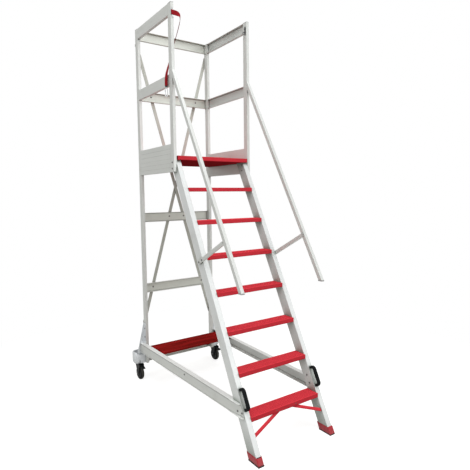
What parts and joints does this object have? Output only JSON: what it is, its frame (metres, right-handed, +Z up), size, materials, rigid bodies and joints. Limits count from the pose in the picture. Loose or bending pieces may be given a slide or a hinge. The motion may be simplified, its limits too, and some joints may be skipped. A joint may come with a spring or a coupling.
{
  "type": "mobile platform steps",
  "caption": "Free-standing warehouse steps: sloping flight of red treads up to a guarded platform, handrails, braced rear frame, braked rear castors and a hook-on safety strap.",
  "frame": {"origin": "on the floor, at the middle of the overall width and length", "axes": "+X to the climber's right, +Y from the feet towards the castors, +Z up"},
  "size_m": [0.936, 1.8062, 3.159],
  "materials": {
    "alloy": "satin extruded",
    "red_alloy": "red coated",
    "dark_red_board": "red coated",
    "cast_alloy": "satin cast",
    "black_steel": "satin black",
    "steel": "zinc plated",
    "bright_steel": "bright plated",
    "black_rubber": "matte",
    "black_plastic": "moulded",
    "red_plastic": "moulded",
    "grey_plastic": "moulded",
    "red_webbing": "woven"
  },
  "bodies": {
    "frame": {"stile_left": "alloy", "stile_right": "alloy", "side_beam_left": "alloy", "side_beam_right": "alloy", "toe_board_left": "alloy", "toe_board_right": "alloy", "front_post_left": "alloy", "front_post_right": "alloy", "rear_post_left": "alloy", "rear_post_right": "alloy", "top_rail_left": "alloy", "top_rail_right": "alloy", "top_rail_rear": "alloy", "mid_rail_left": "alloy", "mid_rail_right": "alloy", "mid_rail_rear": "alloy", "cross_rail_upper": "alloy", "cross_rail_lower": "alloy", "rear_brace_a": "alloy", "rear_brace_b": "alloy", "base_rail_left": "alloy", "base_rail_right": "alloy", "rear_beam": "alloy", "handrail_left": "alloy", "handrail_right": "alloy", "handrail_strut_left": "alloy", "handrail_strut_right": "alloy", "tread_1": "red_alloy", "tread_2": "red_alloy", "tread_3": "red_alloy", "tread_4": "red_alloy", "tread_5": "red_alloy", "tread_6": "red_alloy", "tread_7": "red_alloy", "platform_deck": "red_alloy", "knee_brace_left": "red_alloy", "knee_brace_right": "red_alloy", "shelf_board": "dark_red_board", "castor_bracket_left": "cast_alloy", "castor_bracket_right": "cast_alloy", "carry_handle_left": "black_plastic", "carry_handle_right": "black_plastic", "boot_left": "red_plastic", "boot_right": "red_plastic", "foot_soles": "black_rubber", "tube_caps": "grey_plastic", "frame_bolts": "steel", "safety_strap": "red_webbing", "strap_anchor": "steel", "catch_eye": "steel", "snap_hook": "bright_steel"},
    "castor_left": {"castor_fork_left": "black_steel", "castor_axle_left": "steel"},
    "wheel_left": {"castor_wheel_left": "black_rubber"},
    "brake_left": {"brake_pedal_left": "black_plastic"},
    "castor_right": {"castor_fork_right": "black_steel", "castor_axle_right": "steel"},
    "wheel_right": {"castor_wheel_right": "black_rubber"},
    "brake_right": {"brake_pedal_right": "black_plastic"},
    "gate": {"hook_gate": "bright_steel"}
  },
  "joints": [
    {"name": "castor_swivel_left", "type": "hinge", "parent": "frame", "child": "castor_left", "pos_m": [-0.412, 0.8471, 0.15], "axis": [0, 0, 1], "continuous": true},
    {"name": "wheel_spin_left", "type": "hinge", "parent": "castor_left", "child": "wheel_left", "pos_m": [-0.412, 0.8171, 0.0625], "axis": [1, 0, 0], "continuous": true},
    {"name": "brake_press_left", "type": "hinge", "parent": "castor_left", "child": "brake_left", "pos_m": [-0.412, 0.7931, 0.133], "axis": [1, 0, 0], "range_deg": [0, 12]},
    {"name": "castor_swivel_right", "type": "hinge", "parent": "frame", "child": "castor_right", "pos_m": [0.412, 0.8471, 0.15], "axis": [0, 0, 1], "continuous": true},
    {"name": "wheel_spin_right", "type": "hinge", "parent": "castor_right", "child": "wheel_right", "pos_m": [0.412, 0.8171, 0.0625], "axis": [1, 0, 0], "continuous": true},
    {"name": "brake_press_right", "type": "hinge", "parent": "castor_right", "child": "brake_right", "pos_m": [0.412, 0.7931, 0.133], "axis": [1, 0, 0], "range_deg": [0, 12]},
    {"name": "gate_open", "type": "hinge", "parent": "frame", "child": "gate", "pos_m": [-0.38292, 0.20094, 2.5148], "axis": [-0.8944, -0.4472, 0], "range_deg": [0, 28], "stiffness_Nm_per_rad": 0.02}
  ]
}
